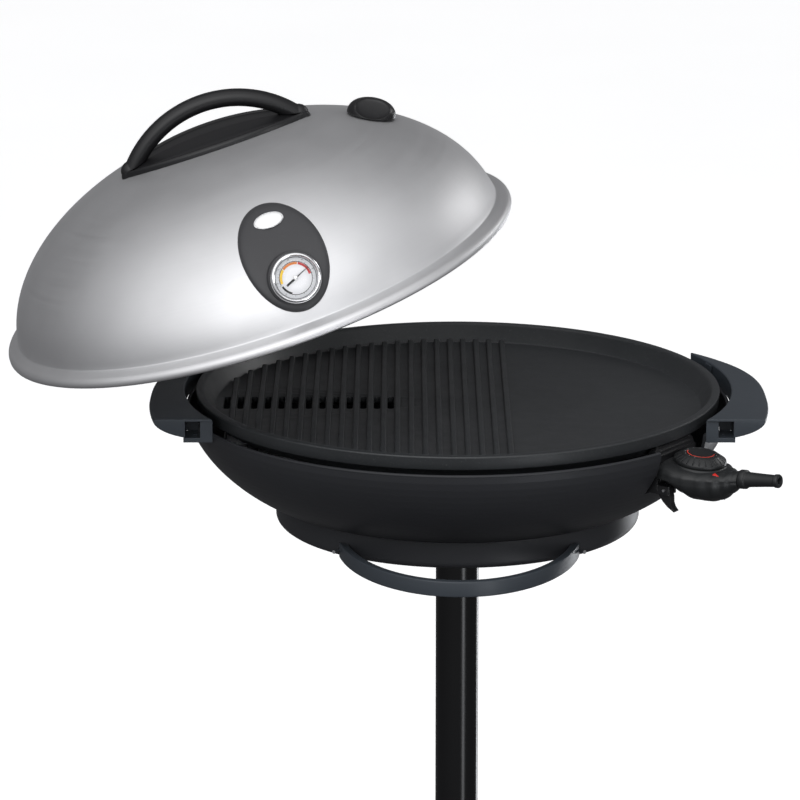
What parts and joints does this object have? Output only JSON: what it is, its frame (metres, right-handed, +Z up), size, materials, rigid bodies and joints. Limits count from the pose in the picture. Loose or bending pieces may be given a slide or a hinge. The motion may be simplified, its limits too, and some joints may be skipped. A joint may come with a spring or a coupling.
{
  "type": "electric indoor grill with lid",
  "caption": "Round electric indoor grill on a pedestal: ribbed plate with drain slots, side handles, front rail, plug-in thermostat controller, lift-off domed lid with gauge and vent cap",
  "frame": {"origin": "on the floor, on the post's axis, at the underside of the rubber feet", "axes": "+Z up, front toward -Y, +X to the user's right as they face the grill"},
  "size_m": [0.6668, 0.4871, 1.0631],
  "materials": {
    "charcoal": "satin",
    "drum_black": "satin",
    "steel": "satin",
    "reflector_sheet": "satin",
    "rail_grey": "satin",
    "handle_grey": "satin",
    "post_black": "gloss",
    "base_black": "satin",
    "weight_iron": "rough",
    "rubber_black": "matte",
    "nonstick": "satin dark coating",
    "heater_sheath": "matte",
    "black_plastic": "satin",
    "controller_grey": "satin",
    "brass_contact": "satin",
    "ceramic": "matte",
    "pilot_red": "gloss",
    "lid_silver": "satin",
    "surround_grey": "satin",
    "badge_white": "gloss",
    "chrome": "polished",
    "dial_white": "satin",
    "clear_glass": "clear",
    "needle_black": "matte"
  },
  "bodies": {
    "grill_base": {"bowl_shell": "charcoal", "base_drum": "drum_black", "heat_reflector": "reflector_sheet", "drip_tray": "reflector_sheet", "front_rail": "rail_grey", "rail_screws": "steel", "left_handle": "handle_grey", "right_handle": "handle_grey", "handle_brackets": "handle_grey", "handle_screws": "steel", "post_socket": "weight_iron", "socket_screws": "steel", "upper_post": "post_black", "lower_post": "post_black", "post_coupler": "steel", "post_screws": "steel", "stand_base": "base_black", "base_weight": "weight_iron", "base_bolt": "steel", "base_feet": "rubber_black"},
    "plate": {"grill_plate": "nonstick", "heating_element": "heater_sheath", "element_clamps": "steel", "clamp_screws": "steel", "connector_housing": "black_plastic", "housing_screws": "steel", "lever_pin": "steel", "lever_spring": "steel"},
    "lever": {"release_lever": "black_plastic"},
    "controller": {"controller_top": "controller_grey", "controller_bottom": "controller_grey", "controller_nose": "black_plastic", "temperature_probe": "steel", "contact_sleeves": "brass_contact", "thermostat_switch": "ceramic", "pilot_lens": "pilot_red", "bend_relief_sleeve": "rubber_black", "controller_screws": "steel"},
    "dial": {"thermostat_knob": "controller_grey", "knob_disc": "needle_black"},
    "lid": {"lid_shell": "lid_silver", "lid_handle": "black_plastic", "handle_base": "black_plastic", "lid_handle_screws": "steel", "gauge_surround": "surround_grey", "blank_badge": "badge_white", "gauge_case": "steel", "gauge_bezel": "chrome", "gauge_dial": "dial_white", "gauge_glass": "clear_glass", "gauge_nut": "steel", "vent_rivet": "steel"},
    "needle": {"gauge_needle": "needle_black"},
    "vent": {"vent_cap": "black_plastic"}
  },
  "joints": [
    {"name": "plate_lift", "type": "slide", "parent": "grill_base", "child": "plate", "axis": [0, 0, 1], "range_m": [0, 0.09]},
    {"name": "controller_pull", "type": "slide", "parent": "plate", "child": "controller", "axis": [0.809, -0.5878, 0], "range_m": [0, 0.07]},
    {"name": "dial_turn", "type": "hinge", "parent": "controller", "child": "dial", "pos_m": [0.20387, -0.14812, 0.77208], "axis": [0.0846, -0.0614, 0.9945], "range_deg": [-20, 250]},
    {"name": "lever_squeeze", "type": "hinge", "parent": "plate", "child": "lever", "pos_m": [0.1766, -0.15674, 0.751], "axis": [0.5878, 0.809, 0], "range_deg": [-14, 0], "stiffness_Nm_per_rad": 0.05, "springref_deg": 5.73},
    {"name": "lid_lift", "type": "hinge", "parent": "plate", "child": "lid", "pos_m": [-0.3562, -0.2346, 0.3941], "axis": [0.1271, -0.903, 0.4104], "range_deg": [-19.36, 0]},
    {"name": "needle_turn", "type": "hinge", "parent": "lid", "child": "needle", "pos_m": [-0.13728, -0.194, 0.94424], "axis": [0.1479, -0.9508, 0.2723], "range_deg": [-23, 216]},
    {"name": "vent_turn", "type": "hinge", "parent": "lid", "child": "vent", "pos_m": [-0.07605, 0.02909, 1.03577], "axis": [0.1421, -0.0007, 0.9899], "range_deg": [0, 90]}
  ]
}
